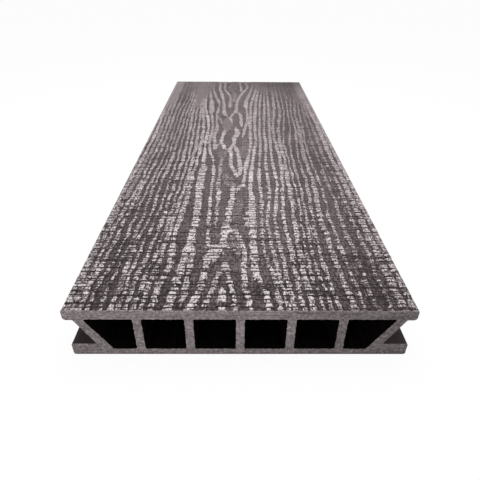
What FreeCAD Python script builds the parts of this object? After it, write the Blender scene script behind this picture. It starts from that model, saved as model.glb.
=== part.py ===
import FreeCAD, Part
import Sketcher
import os

# Hollow wood-plastic composite decking board, one extruded piece cut square at both ends.
# X runs across the board, Y along it and Z up. The origin is under the middle of the board, on its flat underside.
# The section has a thick top plate, a thin floor, upright webs between the chambers, and a slanted wall at each
# side. Outside each wall is a groove for the hidden clips, between the lip of the top plate and a low wing.

NODE = "deck_board"

# Driving dimensions in millimetres: name, value, meaning
DIMENSIONS = [
    ("board_length", 375, "length between the sawn ends"),
    ("board_width", 140, "width over the lips of the top plate"),
    ("board_height", 25, "height from the underside to the walking face"),
    ("top_plate", 5.1, "thickness of the top plate over the chambers"),
    ("floor_plate", 3.2, "thickness of the floor under the chambers"),
    ("web_thickness", 3.5, "thickness of each upright web"),
    ("web_pitch", 20.5, "spacing of the webs, centre to centre"),
    ("inner_chambers", 4, "count of rectangular chambers between the webs"),
    ("lip_thickness", 5.5, "thickness of the lip over each groove"),
    ("bottom_width", 139, "width over the wings of the bottom"),
    ("wing_thickness", 6.2, "thickness of the wing under each groove"),
    ("groove_head_depth", 3.7, "depth of the groove under the lip"),
    ("groove_foot_depth", 10.6, "depth of the groove on top of the wing"),
    ("wall_head", 4.1, "slanted wall measured level, at the chamber's ceiling"),
    ("wall_foot", 4.8, "slanted wall measured level, at the chamber's floor"),
    ("lip_radius", 1.4, "rounding of the lip's outer edges"),
    ("wing_radius", 0.9, "rounding of the wing's outer edges"),
    ("groove_radius", 0.3, "rounding in the corners of the groove"),
    ("chamber_radius", 0.7, "rounding in the corners of the chambers"),
]
SHEET = "sizes"

# Sketcher's numbers for the ends of a line, for the origin and for the two axes
START = 1
END = 2
ORIGIN = (-1, 1)
ACROSS_AXIS = -1
UPRIGHT_AXIS = -2

# An edge is taken to lie on a corner of the section when it is this close to it, in millimetres
CORNER_TOLERANCE = 1e-4


def make_sheet(doc):
    """The spreadsheet with one row for each driving dimension: meaning in column A, value in column B."""
    sheet = doc.addObject("Spreadsheet::Sheet", SHEET)
    for row, (name, value, meaning) in enumerate(DIMENSIONS, start=1):
        sheet.set(f"A{row}", meaning)
        sheet.set(f"B{row}", str(value))
        sheet.setAlias(f"B{row}", name)
    doc.recompute()
    return sheet


def cell(name):
    """How an expression names a driving dimension."""
    return f"{SHEET}.{name}"


def origin_feature(body, role):
    """The body's own origin plane or axis with that role."""
    return next(f for f in body.Origin.OriginFeatures if f.Role == role)


def section_sketch(body, name):
    """An empty sketch across the board, at the middle of its length, with X across and Z up."""
    sketch = body.newObject("Sketcher::SketchObject", name)
    sketch.AttachmentSupport = [(origin_feature(body, "XZ_Plane"), "")]
    sketch.MapMode = "FlatFace"
    return sketch


def draw_outline(sketch, corners):
    """A closed outline of straight lines through the corners. Line i runs from corner i to the next one."""
    points = [FreeCAD.Vector(x, z, 0) for x, z in corners]
    count = len(points)
    for i in range(count):
        sketch.addGeometry(Part.LineSegment(points[i], points[(i + 1) % count]), False)
    for i in range(count):
        sketch.addConstraint(Sketcher.Constraint("Coincident", i, END, (i + 1) % count, START))


def dimension(sketch, name, kind, first, second, formula):
    """A named distance from one point to another, bound to the formula."""
    span = sketch.getPoint(*second) - sketch.getPoint(*first)
    drawn = span.x if kind == "DistanceX" else span.y
    index = sketch.addConstraint(Sketcher.Constraint(kind, *first, *second, drawn))
    sketch.renameConstraint(index, name)
    sketch.setExpression(f"Constraints.{name}", formula)


def outer_corners(size):
    """The corners of the section's outside on the right half, from the underside up, as (x, z)."""
    lip = size["board_width"] / 2
    wing = size["bottom_width"] / 2
    lip_under = size["board_height"] - size["lip_thickness"]
    return [
        (wing, 0),
        (wing, size["wing_thickness"]),
        (wing - size["groove_foot_depth"], size["wing_thickness"]),
        (lip - size["groove_head_depth"], lip_under),
        (lip, lip_under),
        (lip, size["board_height"]),
    ]


def outer_profile(body, size):
    """The board's outside: right half from the underside up to the walking face, mirrored on the left."""
    sketch = section_sketch(body, "outer_profile")
    right = outer_corners(size)
    left = [(-x, z) for x, z in reversed(right)]
    draw_outline(sketch, right + left)
    under, wing_top, foot, head, lip_under, top = range(len(right))
    last = len(right + left) - 1
    for corner in range(len(right)):
        opposite = last - corner
        sketch.addConstraint(
            Sketcher.Constraint("Symmetric", corner, START, opposite, START, UPRIGHT_AXIS)
        )
    sketch.addConstraint(Sketcher.Constraint("PointOnObject", under, START, ACROSS_AXIS))
    sketch.addConstraint(Sketcher.Constraint("Vertical", under))
    sketch.addConstraint(Sketcher.Constraint("Horizontal", wing_top))
    sketch.addConstraint(Sketcher.Constraint("Horizontal", head))
    sketch.addConstraint(Sketcher.Constraint("Vertical", lip_under))

    def corner_point(corner):
        return (corner, START)

    across = "DistanceX"
    upright = "DistanceY"
    spans = [
        ("bottom_width", across, last - under, under),
        ("board_width", across, last - top, top),
        ("board_height", upright, under, top),
        ("wing_thickness", upright, under, wing_top),
        ("lip_thickness", upright, lip_under, top),
        ("groove_foot_depth", across, foot, wing_top),
        ("groove_head_depth", across, head, lip_under),
    ]
    for name, kind, first, second in spans:
        dimension(sketch, name, kind, corner_point(first), corner_point(second), cell(name))
    return sketch


def inner_chamber_corners(size):
    """The corners of the first rectangular chamber, at the left, as (x, z)."""
    width = size["web_pitch"] - size["web_thickness"]
    middle = -(size["inner_chambers"] - 1) / 2 * size["web_pitch"]
    floor = size["floor_plate"]
    ceiling = size["board_height"] - size["top_plate"]
    return [
        (middle - width / 2, floor),
        (middle + width / 2, floor),
        (middle + width / 2, ceiling),
        (middle - width / 2, ceiling),
    ]


def inner_chamber_profile(body, size):
    """The first rectangular chamber, between the floor, the top plate and two webs."""
    sketch = section_sketch(body, "inner_chamber")
    draw_outline(sketch, inner_chamber_corners(size))
    floor, right_web, ceiling, left_web = range(4)
    for line in (floor, ceiling):
        sketch.addConstraint(Sketcher.Constraint("Horizontal", line))
    for line in (right_web, left_web):
        sketch.addConstraint(Sketcher.Constraint("Vertical", line))
    low_left = (floor, START)
    low_right = (right_web, START)
    high_right = (ceiling, START)
    clear_width = f"{cell('web_pitch')} - {cell('web_thickness')}"
    left_face = f"{cell('inner_chambers')} / 2 * {cell('web_pitch')} - {cell('web_thickness')} / 2"
    clear_height = f"{cell('board_height')} - {cell('top_plate')} - {cell('floor_plate')}"
    dimension(sketch, "clear_width", "DistanceX", low_left, low_right, clear_width)
    dimension(sketch, "left_face", "DistanceX", low_left, ORIGIN, left_face)
    dimension(sketch, "floor_plate", "DistanceY", ORIGIN, low_left, cell("floor_plate"))
    dimension(sketch, "clear_height", "DistanceY", low_right, high_right, clear_height)
    return sketch


def side_chamber_corners(size):
    """The corners of the right side chamber, whose outer wall slants along the groove, as (x, z)."""
    foot, head = outer_corners(size)[2:4]
    web_face = size["inner_chambers"] / 2 * size["web_pitch"] + size["web_thickness"] / 2
    floor = size["floor_plate"]
    ceiling = size["board_height"] - size["top_plate"]
    lean = (head[0] - foot[0]) / (head[1] - foot[1])
    return [
        (web_face, floor),
        (foot[0] + lean * (floor - foot[1]) - size["wall_foot"], floor),
        (foot[0] + lean * (ceiling - foot[1]) - size["wall_head"], ceiling),
        (web_face, ceiling),
    ]


def side_chamber_profile(body, size):
    """The right side chamber, between the last web and the slanted wall."""
    sketch = section_sketch(body, "side_chamber")
    draw_outline(sketch, side_chamber_corners(size))
    floor, slanted_wall, ceiling, web = range(4)
    for line in (floor, ceiling):
        sketch.addConstraint(Sketcher.Constraint("Horizontal", line))
    sketch.addConstraint(Sketcher.Constraint("Vertical", web))
    web_foot = (floor, START)
    wall_foot = (slanted_wall, START)
    wall_head = (ceiling, START)
    web_face = f"{cell('inner_chambers')} / 2 * {cell('web_pitch')} + {cell('web_thickness')} / 2"
    clear_height = f"{cell('board_height')} - {cell('top_plate')} - {cell('floor_plate')}"
    # The groove's slanted face, carried on in a straight line to the level of the floor and of the ceiling
    foot_x = f"({cell('bottom_width')} / 2 - {cell('groove_foot_depth')})"
    head_x = f"({cell('board_width')} / 2 - {cell('groove_head_depth')})"
    rise = f"({cell('board_height')} - {cell('lip_thickness')} - {cell('wing_thickness')})"
    lean = f"({head_x} - {foot_x}) / {rise}"
    above_floor = f"({cell('floor_plate')} - {cell('wing_thickness')})"
    above_ceiling = f"({cell('board_height')} - {cell('top_plate')} - {cell('wing_thickness')})"
    wall_foot_x = f"{foot_x} + {lean} * {above_floor} - {cell('wall_foot')}"
    wall_head_x = f"{foot_x} + {lean} * {above_ceiling} - {cell('wall_head')}"
    dimension(sketch, "web_face", "DistanceX", ORIGIN, web_foot, web_face)
    dimension(sketch, "floor_plate", "DistanceY", ORIGIN, web_foot, cell("floor_plate"))
    dimension(sketch, "clear_height", "DistanceY", wall_foot, wall_head, clear_height)
    dimension(sketch, "wall_foot_x", "DistanceX", ORIGIN, wall_foot, wall_foot_x)
    dimension(sketch, "wall_head_x", "DistanceX", ORIGIN, wall_head, wall_head_x)
    return sketch


def extrude(body, profile):
    """The board's outside, extruded half its length each way from the middle."""
    pad = body.newObject("PartDesign::Pad", "extrusion")
    pad.Profile = profile
    pad.SideType = "Symmetric"
    pad.setExpression("Length", cell("board_length"))
    return pad


def bore_through(body, name, profile):
    """A chamber cut right through the board, both ways from the middle."""
    pocket = body.newObject("PartDesign::Pocket", name)
    pocket.Profile = profile
    pocket.SideType = "Symmetric"
    pocket.Type = "ThroughAll"
    return pocket


def repeat_across(body, chamber):
    """The rectangular chambers, one for each web pitch."""
    row = body.newObject("PartDesign::LinearPattern", "inner_chambers")
    row.Originals = [chamber]
    row.Direction = (origin_feature(body, "X_Axis"), [""])
    row.Mode = "Spacing"
    row.setExpression("Offset", cell("web_pitch"))
    row.setExpression("Occurrences", cell("inner_chambers"))
    body.Tip = row
    return row


def mirror_across(body, chamber):
    """The side chamber repeated on the left."""
    pair = body.newObject("PartDesign::Mirrored", "side_chambers")
    pair.Originals = [chamber]
    pair.MirrorPlane = (origin_feature(body, "YZ_Plane"), [""])
    body.Tip = pair
    return pair


def edges_along(shape, corners):
    """The names of the edges that run along the board through these corners of the section."""
    names = []
    for number, edge in enumerate(shape.Edges, start=1):
        start, end = (v.Point for v in (edge.Vertexes[0], edge.Vertexes[-1]))
        for x, z in corners:
            if max(abs(start.x - x), abs(end.x - x), abs(start.z - z), abs(end.z - z)) < CORNER_TOLERANCE:
                names.append(f"Edge{number}")
    return names


def both_sides(corners):
    """The corners on the right half and their mirror images on the left."""
    return [(side * x, z) for side in (1, -1) for x, z in corners]


def round_edges(body, name, corners, radius):
    """A fillet on the edges that run along the board through these corners."""
    base = body.Tip
    edges = edges_along(base.Shape, corners)
    if len(edges) != len(corners):
        raise RuntimeError(f"{name}: found {len(edges)} edges for {len(corners)} corners")
    fillet = body.newObject("PartDesign::Fillet", name)
    fillet.Base = (base, edges)
    fillet.setExpression("Radius", cell(radius))
    body.Document.recompute()
    return fillet


def make_board(doc, size):
    """The whole board as one body."""
    body = doc.addObject("PartDesign::Body", NODE)
    body.Label = NODE
    extrude(body, outer_profile(body, size))
    doc.recompute()
    first = bore_through(body, "first_inner_chamber", inner_chamber_profile(body, size))
    doc.recompute()
    repeat_across(body, first)
    doc.recompute()
    side = bore_through(body, "right_side_chamber", side_chamber_profile(body, size))
    doc.recompute()
    mirror_across(body, side)
    doc.recompute()

    under, wing_top, foot, head, lip_under, top = outer_corners(size)
    round_edges(body, "lip_edges", both_sides([lip_under, top]), "lip_radius")
    round_edges(body, "wing_edges", both_sides([under, wing_top]), "wing_radius")
    round_edges(body, "groove_corners", both_sides([foot, head]), "groove_radius")
    inner = [
        (x + step * size["web_pitch"], z)
        for step in range(int(size["inner_chambers"]))
        for x, z in inner_chamber_corners(size)
    ]
    chambers = inner + both_sides(side_chamber_corners(size))
    round_edges(body, "chamber_corners", chambers, "chamber_radius")
    body.Placement = FreeCAD.Placement()
    doc.recompute()
    return body


def check(doc, body):
    """Stops if a feature failed, or the board isn't one valid solid with its chambers cut."""
    for obj in doc.Objects:
        if "Invalid" in obj.State or "Error" in obj.State:
            raise RuntimeError(f"{obj.Name} failed: {obj.State}")
    shape = body.Shape
    if shape.isNull() or not shape.isValid() or len(shape.Solids) != 1:
        raise RuntimeError(f"{body.Label} is not one valid solid")
    blank = doc.getObject("extrusion").Shape.Volume
    print(f"{body.Label}: {shape.Volume:.0f} mm3 of {blank:.0f} mm3 before its chambers, {shape.BoundBox}")


def main():
    doc = FreeCAD.newDocument("decking_board")
    sheet = make_sheet(doc)
    size = {name: float(sheet.get(name)) for name, _, _ in DIMENSIONS}
    body = make_board(doc, size)
    check(doc, body)
    os.makedirs("parts", exist_ok=True)
    body.Shape.exportStep(f"parts/{body.Label}.step")


main()
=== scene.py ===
import math

import bmesh
import bpy
import numpy as np
from mathutils import Matrix, Vector
from mathutils.geometry import delaunay_2d_cdt


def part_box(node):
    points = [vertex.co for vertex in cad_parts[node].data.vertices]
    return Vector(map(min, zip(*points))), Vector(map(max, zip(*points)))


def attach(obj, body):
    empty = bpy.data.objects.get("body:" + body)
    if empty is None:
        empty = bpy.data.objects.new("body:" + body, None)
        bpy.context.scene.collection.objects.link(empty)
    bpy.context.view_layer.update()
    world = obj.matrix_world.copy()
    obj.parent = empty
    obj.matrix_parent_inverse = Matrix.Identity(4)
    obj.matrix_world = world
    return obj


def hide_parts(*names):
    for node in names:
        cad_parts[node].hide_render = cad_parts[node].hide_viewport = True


# A hollow composite decking board with an embossed, brushed wood grain on its walking face.
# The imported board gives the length, width and height. Its face, ends and chambers are built again here as
# one closed mesh, so that the grain can be pressed into the face. Lengths are millimetres until they reach
# the mesh. Places along the board are measured from its front end, and places across it from its middle.

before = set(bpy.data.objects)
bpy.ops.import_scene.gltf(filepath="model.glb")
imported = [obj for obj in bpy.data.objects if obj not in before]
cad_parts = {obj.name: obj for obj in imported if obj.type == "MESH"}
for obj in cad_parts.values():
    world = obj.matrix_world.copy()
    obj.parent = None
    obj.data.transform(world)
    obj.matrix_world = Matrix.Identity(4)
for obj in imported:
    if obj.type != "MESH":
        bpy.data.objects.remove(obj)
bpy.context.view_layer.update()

MILLIMETRE = 0.001
NODE = "deck_board"
SEED = 20

# Section, with the sizes of the extrusion
low_corner, high_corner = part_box(NODE)
BOARD_LENGTH = (high_corner.y - low_corner.y) / MILLIMETRE
HALF_WIDTH = high_corner.x / MILLIMETRE
BOARD_HEIGHT = high_corner.z / MILLIMETRE
TOP_PLATE = 5.1
FLOOR_PLATE = 3.2
WEB_THICKNESS = 3.5
WEB_PITCH = 20.5
INNER_CHAMBERS = 4
LIP_THICKNESS = 5.5
WING_SET_BACK = 0.5
HALF_BOTTOM_WIDTH = HALF_WIDTH - WING_SET_BACK
WING_THICKNESS = 6.2
GROOVE_HEAD_DEPTH = 3.7
GROOVE_FOOT_DEPTH = 10.6
WALL_HEAD = 4.1
WALL_FOOT = 4.8
LIP_RADIUS = 1.4
WING_RADIUS = 0.9
GROOVE_RADIUS = 0.3
CHAMBER_RADIUS = 0.7

# Steps round each rounded corner, and how the saw leaves the chambers' edges ragged
ARC_STEPS = 6
RAGGED_STEP = 0.9
RAGGED_PUSH = 0.13

# Grid of the walking face, on its flat part and over each rounded lip
FLAT_COLUMNS = 212
LIP_COLUMNS = 5
FLAT_HALF_WIDTH = HALF_WIDTH - LIP_RADIUS
FACE_HALF_WIDTH = FLAT_HALF_WIDTH + LIP_RADIUS * math.pi / 2

# Relief: how deep the ground is pressed, how wide its slope up to a line is on each side of the line's edge,
# and how far onto the rounded lips it goes before it fades
GRAIN_DEPTH = 0.42
GRAIN_SLOPE = 0.38
RELIEF_ONTO_LIP = 0.4

# Saw cuts across the grain: their places and shape, how hard and how evenly they bite, how that fades far
# along the board, and the share of their depth that they keep in the ground
FIRST_CUT = 1.7
CUT_SPACING = (1.9, 3.4)
CUT_WANDER = 0.5
CUT_WANDER_SPACING = 16.0
CUT_DEPTH = 0.5
CUT_HALF_WIDTH = 0.45
CUT_BITE = (0.55, 0.9)
DEEP_CUTS = 0.3
DEEP_CUT_BITE = (1.0, 1.3)
CUT_EVENNESS = (-0.1, 1.6)
CUT_EVENNESS_SPACING = 5.0
CUT_FADE = 0.35
CUT_FADE_PLACES = (40.0, 250.0)
CUT_IN_GROUND = 0.3

# The grain figure along the middle of the face, drawn as listed strokes. Each stroke is one raised line of
# the grain:
# half its width, how light its brushed top is, and the points it runs through, along and across the board.
FIGURE = [
    # Arches near the front end, nested, with their tips away from it
    (1.9, 1.0, [(0, -7.1), (7, -7.2), (14, -7.6)]),
    (1.25, 1.0, [(0, -14.6), (4, -13.8), (8, -12.8), (14, -11.3), (20, -10.0), (25, -8.6), (30, -6.7)]),
    (1.2, 1.0, [(0, -2.2), (5, -2.5), (10, -3.0), (16, -4.0), (21, -4.9), (26, -5.7), (30, -6.4)]),
    (1.6, 0.95, [(0, -20.5), (5, -18.6), (9, -17.5), (14, -16.7), (20, -16.1), (28, -15.4), (34, -14.4),
        (39, -13.4)]),
    (2.4, 1.0, [(43, -8.8), (50, -7.9), (58, -7.8)]),
    (1.05, 0.95, [(0, 3.9), (4, 3.6), (8, 2.9), (14, 2.2), (20, 1.8), (30, 1.8), (40, 2.0), (46, 1.0),
        (52, -0.5), (58, -2.0)]),
    # Both sides of the long bare patch, and the lines that run on from its tip
    (2.5, 1.0, [(60, -7.4), (64, -6.9), (68, -6.2)]),
    (1.65, 1.0, [(68, -5.9), (78, -5.6), (86, -5.0), (93, -4.0), (100, -3.9), (110, -4.0)]),
    (1.2, 0.8, [(99, -1.6), (104, -0.6), (109, 0.2)]),
    (1.2, 0.95, [(108, 2.2), (118, 3.0), (126, 3.7), (134, 4.4), (142, 5.0), (150, 5.8), (160, 7.1),
        (170, 8.0), (180, 8.7), (200, 9.0), (219, 9.4), (230, 9.6), (242, 10.3), (253, 10.7), (263, 11.0),
        (275, 11.3), (288, 12.6), (300, 13.9), (312, 15.2), (322, 16.6), (334, 17.9), (347, 19.0),
        (375, 20.2)]),
    (1.5, 1.0, [(0, 11.2), (5, 11.0), (10, 10.6), (14, 9.4), (18, 8.0), (22, 6.9), (30, 6.5), (50, 6.6),
        (60, 6.8)]),
    (1.85, 1.0, [(60, 6.8), (72, 6.9), (84, 7.0), (96, 7.0)]),
    (1.2, 0.95, [(95, 6.9), (104, 6.6), (112, 6.9), (120, 7.1), (130, 7.8), (140, 8.7), (150, 9.6),
        (160, 10.5), (170, 11.3), (180, 12.6), (190, 13.0), (205, 12.8), (220, 13.2), (242, 13.9),
        (253, 14.6), (264, 15.4), (297, 17.2), (305, 18.0), (319, 19.4), (340, 21.6), (375, 22.6)]),
    (1.12, 0.95, [(43, -15.2), (58, -15.9), (76, -16.4), (100, -16.8), (112, -16.6), (125, -16.6),
        (138, -17.0), (150, -18.0), (160, -20.0), (170, -21.3), (180, -22.0), (190, -22.0), (200, -21.7),
        (210, -21.5), (221, -21.4), (230, -22.2), (242, -23.0), (254, -24.2)]),
    (0.9, 0.9, [(58, -12.6), (70, -12.4), (82, -12.6), (92, -12.1)]),
    (1.3, 1.0, [(90, -12.2), (102, -12.0)]),
    (1.2, 0.75, [(104, -12.8), (120, -12.5), (140, -12.4), (150, -12.0), (157, -12.0)]),
    # The narrow tongue with its tip towards the front end
    (1.3, 1.0, [(122, -1.3), (128, -2.7), (134, -4.4), (140, -5.5), (150, -5.7), (160, -5.7), (167, -6.8)]),
    (1.3, 0.95, [(122, -1.0), (126, 0.0), (130, 0.7), (134, 0.9), (140, 0.7), (150, 0.1), (160, -0.8),
        (167, -1.6), (172, -2.4), (177, -3.4)]),
    # The first eye
    (1.6, 1.05, [(166, -7.4), (167, -8.8), (169, -10.2), (174, -11.0), (177, -11.7), (180, -12.7),
        (190, -12.9), (200, -12.0), (210, -11.6)]),
    (1.6, 1.05, [(166, -7.4), (172, -5.8), (176, -4.5), (185, -3.3), (190, -3.8), (195, -2.6), (201, -0.9),
        (208, -1.5), (216, -2.8)]),
    (0.9, 0.8, [(168, -17.2), (174, -16.8), (178, -15.0), (181, -13.0)]),
    (1.1, 0.8, [(222, -13.8), (230, -14.4), (238, -15.6), (246, -17.8)]),
    # The second eye and the nested tongues beyond it
    (1.4, 1.05, [(219, 2.3), (230, 2.2), (242, 2.0), (250, 1.6), (255, 0.4), (259, -1.4)]),
    (1.4, 0.98, [(226, -5.6), (236, -6.4), (243, -7.2), (248, -6.2), (253, -5.0), (258, -2.9), (269, -1.9),
        (281, -1.9), (292, -1.4), (303, 0.0), (314, 1.7), (325, 3.9), (335, 6.6), (342, 8.8), (350, 9.6),
        (358, 9.3), (375, 7.8)]),
    (1.4, 0.98, [(242, -8.4), (247, -10.6), (253, -12.2), (264, -13.2), (286, -14.0), (297, -14.7),
        (308, -15.8), (319, -16.9), (330, -18.3), (341, -19.4), (353, -20.0), (375, -20.0)]),
    (1.3, 0.9, [(270, -7.8), (286, -8.2), (308, -8.2), (315, -8.7), (320, -9.9), (330, -12.1), (341, -14.2),
        (353, -14.7), (375, -14.2)]),
    (1.1, 1.0, [(331, 2.4), (338, 2.9), (347, 3.1), (358, 2.4), (375, 1.6)]),
    (1.0, 0.75, [(290, -6.4), (300, -4.6), (310, -3.9), (318, -3.4), (326, -2.6)]),
    (1.1, 0.95, [(192, 2.6), (200, 3.7), (210, 4.6), (221, 5.8), (230, 7.0), (242, 7.6), (264, 7.4),
        (275, 7.1)]),
    (2.2, 1.1, [(268, 7.2), (286, 7.1), (300, 7.9)]),
    (1.3, 0.9, [(297, 7.8), (308, 9.3), (319, 10.9), (330, 12.4), (341, 14.0), (353, 15.4), (375, 16.0)]),
    (1.3, 0.9, [(169, -17.4), (180, -18.1), (190, -18.8), (200, -19.0), (210, -18.2), (221, -17.7),
        (230, -18.9), (242, -18.7), (253, -19.3), (264, -18.6), (286, -18.3), (297, -19.7), (308, -22.2),
        (319, -23.6), (330, -25.3), (341, -26.4), (375, -26.6)]),
    (2.7, 0.95, [(255, -24.6), (270, -25.3), (284, -25.6), (296, -26.2)]),
    (1.2, 0.8, [(296, -26.6), (308, -27.6), (330, -29.4), (375, -30.2)]),
    # The broad line left of the figure, and the thinner one that joins it
    (1.7, 1.0, [(0, -28.4), (8, -27.9), (16, -27.0), (25, -26.2), (35, -25.4), (45, -23.9), (58, -23.6)]),
    (1.9, 1.0, [(58, -23.6), (66, -22.9), (78, -23.0), (90, -23.3), (102, -24.0)]),
    (1.4, 0.75, [(2, -23.6), (12, -22.9), (24, -22.6), (36, -22.1), (46, -22.4)]),
    (2.4, 0.88, [(101, -24.0), (112, -24.1), (125, -24.0), (140, -23.8)]),
    (1.05, 0.95, [(139, -24.2), (150, -24.4), (160, -24.3), (170, -24.9), (190, -25.0), (200, -24.8),
        (221, -25.0), (230, -25.8), (242, -26.8), (255, -28.4), (270, -30.4), (300, -32.0), (375, -33.5)]),
    # The lines right of the figure
    (0.9, 0.9, [(0, 16.0), (10, 15.2), (17, 14.8), (22, 14.2), (30, 12.7), (37, 11.7), (47, 11.1),
        (60, 11.4), (80, 12.0), (92, 12.6), (110, 12.5), (130, 12.8), (150, 14.2), (160, 14.9), (180, 16.0),
        (200, 16.2), (220, 17.3), (242, 18.3), (275, 19.7), (297, 21.2), (320, 23.2), (345, 25.2),
        (375, 26.0)]),
    (0.95, 0.9, [(0, 18.5), (10, 18.0), (22, 17.0), (30, 16.4), (37, 15.8), (47, 15.0), (60, 14.6),
        (70, 14.5), (80, 15.8), (90, 16.8), (108, 17.8), (150, 18.1), (160, 18.9), (180, 20.1), (200, 20.0),
        (220, 21.1), (242, 22.2), (275, 24.2), (297, 25.1), (330, 27.0), (375, 28.6)]),
    (0.95, 0.9, [(0, 21.3), (10, 20.8), (22, 20.1), (30, 20.2), (37, 19.3), (47, 18.9), (60, 18.5),
        (70, 18.5), (80, 19.6), (90, 20.8), (108, 22.8), (150, 22.6), (180, 23.6), (200, 24.4), (220, 25.2),
        (242, 26.2), (275, 28.0), (300, 29.0), (375, 31.0)]),
]

# Patches that stand as high as the lines between them and are brushed too, written like the strokes
PATCHES = [
    (4.6, 0.85, [(42.2, -11.0), (43.6, -11.0)]),
    (4.8, 0.85, [(39.0, -11.4), (39.8, -11.2)]),
    (2.6, 0.9, [(32.0, -13.8), (36.4, -13.2)]),
    (4.8, 0.95, [(57.4, -5.4), (58.4, -5.6)]),
    (1.5, 0.85, [(47, 0.8), (52, -0.5), (56, -1.7)]),
    (2.0, 0.8, [(80.6, 4.0), (81.4, 4.0)]),
    (1.7, 0.8, [(74.4, 4.4), (77.8, 4.4)]),
    (2.0, 0.8, [(69.2, 4.0), (69.8, 4.0)]),
    (1.8, 0.8, [(63.6, 4.2), (66.8, 4.2)]),
    (1.3, 0.95, [(176, -16.4), (178, -14.9), (180, -13.2)]),
]

# Shades: duller patches with gentle slopes, written the same way
SHADES = [
    (2.8, 0.54, [(101, -3.8), (108, -5.0), (114, -6.6), (127, -8.0)]),
    (3.9, 0.6, [(206, -9.2), (216, -9.4), (222, -8.8), (230, -9.4), (242, -9.8)]),
    (3.2, 0.46, [(149, -11.6), (158, -11.8), (166, -12.0)]),
    (3.2, 0.48, [(153, 3.0), (170, 4.0), (189, 5.2)]),
    (2.6, 0.36, [(60, -2.1), (68, -1.6), (76, -1.0), (86, 0.0), (94, 0.6), (98, 0.8)]),
    (1.8, 0.55, [(290, -4.6), (310, -4.2), (325, -4.8), (336, -7.0), (344, -9.4), (353, -8.9), (364, -7.2),
        (375, -6.2)]),
    (2.6, 0.45, [(336, -4.0), (350, -3.4), (375, -2.8)]),
    (2.6, 0.45, [(34, -1.4), (46, -2.2), (58, -3.2)]),
]

# The straighter lines beside the figure, drawn as listed: half the width and the lightness of each one, and
# its place across the board at these stations along it
STATIONS = (0, 20, 30, 50, 70, 90, 110, 150, 180, 210, 260, 300, 375)
SIDE_LINES = [
    # Left of the figure
    (1.3, 1.0, (-35.4, -33.0, -31.7, -32.3, -31.3, -30.4, -30.0, -28.6, -28.2, -28.6, -32.1, -34.6, -37.0)),
    (1.0, 0.95, (-38.8, -37.9, -36.7, -35.5, -34.6, -33.8, -32.7, -31.8, -31.8, -32.7, -34.4, -37.0, -39.5)),
    (0.85, 0.95, (-41.7, -40.8, -39.6, -38.3, -37.0, -36.7, -36.0, -35.0, -35.5, -36.4, -37.8, -39.0, -41.5)),
    (1.0, 0.95, (-45.0, -44.2, -43.1, -41.7, -40.4, -40.0, -39.4, -38.6, -39.1, -39.5, -41.1, -40.8, -43.0)),
    (0.75, 0.9, (-47.5, -47.3, -47.1, -45.8, -44.2, -43.3, -43.2, -42.3, -42.7, -43.2, -43.9, -42.8, -45.0)),
    (0.9, 0.9, (-50.4, -50.0, -50.0, -49.6, -47.5, -47.5, -47.7, -45.9, -46.4, -46.4, -46.7, -45.6, -48.0)),
    (0.7, 0.85, (-55.0, -54.2, -53.8, -52.1, -51.3, -51.3, -51.4, -49.1, -49.5, -49.5, -50.0, -48.3, -50.5)),
    (0.75, 0.85, (-59.6, -58.8, -57.1, -55.8, -55.4, -55.0, -54.4, -52.3, -52.3, -52.6, -53.5, -51.7, -53.5)),
    (1.0, 0.93, (-62.5, -62.5, -61.3, -60.4, -60.0, -59.2, -58.2, -56.4, -55.9, -55.9, -57.0, -56.5, -57.0)),
    (1.0, 0.84, (-65.0, -65.0, -64.2, -63.8, -63.3, -62.0, -60.6, -60.0, -59.0, -59.2, -60.5, -61.0, -61.0)),
    (1.1, 0.66, (-67.5, -67.5, -67.5, -66.6, -66.7, -65.4, -64.5, -63.2, -62.3, -62.7, -64.0, -64.5, -64.5)),
    (1.1, 0.84, (-69.4, -69.4, -69.4, -69.2, -69.0, -68.3, -67.8, -66.4, -65.9, -65.9, -67.8, -68.0, -68.0)),
    (1.2, 0.7, (-70.6, -70.6, -70.6, -70.4, -70.3, -70.1, -69.9, -69.6, -69.4, -69.4, -70.2, -70.4, -70.4)),
    # Right of the figure
    (1.1, 1.0, (25.0, 24.2, 24.2, 23.8, 23.3, 24.6, 26.2, 28.2, 27.4, 27.7, 32.2, 34.4, 36.0)),
    (1.1, 0.95, (28.8, 27.9, 27.9, 28.3, 28.8, 29.6, 30.0, 31.2, 30.9, 32.1, 37.4, 38.5, 40.0)),
    (0.7, 0.9, (32.9, 31.2, 30.8, 31.3, 32.5, 33.8, 33.6, 33.9, 33.7, 36.2, 41.0, 42.5, 44.0)),
    (0.75, 0.9, (35.8, 34.4, 33.8, 34.2, 35.4, 36.3, 36.8, 37.0, 38.0, 41.5, 44.4, 47.2, 48.0)),
    (0.85, 0.9, (38.8, 38.1, 37.5, 37.5, 38.8, 40.0, 41.2, 41.1, 43.2, 45.9, 47.6, 51.3, 52.5)),
    (1.35, 0.85, (44.6, 43.9, 43.3, 43.3, 42.9, 44.2, 45.6, 45.5, 46.8, 49.0, 51.0, 55.2, 56.5)),
    (0.75, 0.85, (48.8, 48.4, 47.9, 47.9, 47.5, 48.8, 49.4, 49.1, 49.9, 52.0, 54.8, 58.0, 59.0)),
    (0.9, 0.69, (53.8, 53.3, 53.8, 53.3, 53.3, 54.6, 54.3, 55.0, 55.0, 56.4, 58.5, 60.3, 61.0)),
    (0.85, 0.74, (59.6, 58.9, 59.6, 59.6, 59.6, 60.0, 60.6, 59.1, 59.7, 60.5, 61.5, 62.8, 63.5)),
    (1.6, 0.79, (64.0, 64.0, 64.0, 63.9, 64.2, 64.5, 64.7, 64.1, 64.7, 65.5, 65.3, 65.6, 66.0)),
    (2.0, 0.76, (68.3, 68.3, 68.3, 68.3, 68.3, 68.5, 68.7, 68.4, 68.6, 68.8, 68.9, 69.0, 69.0)),
]

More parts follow.
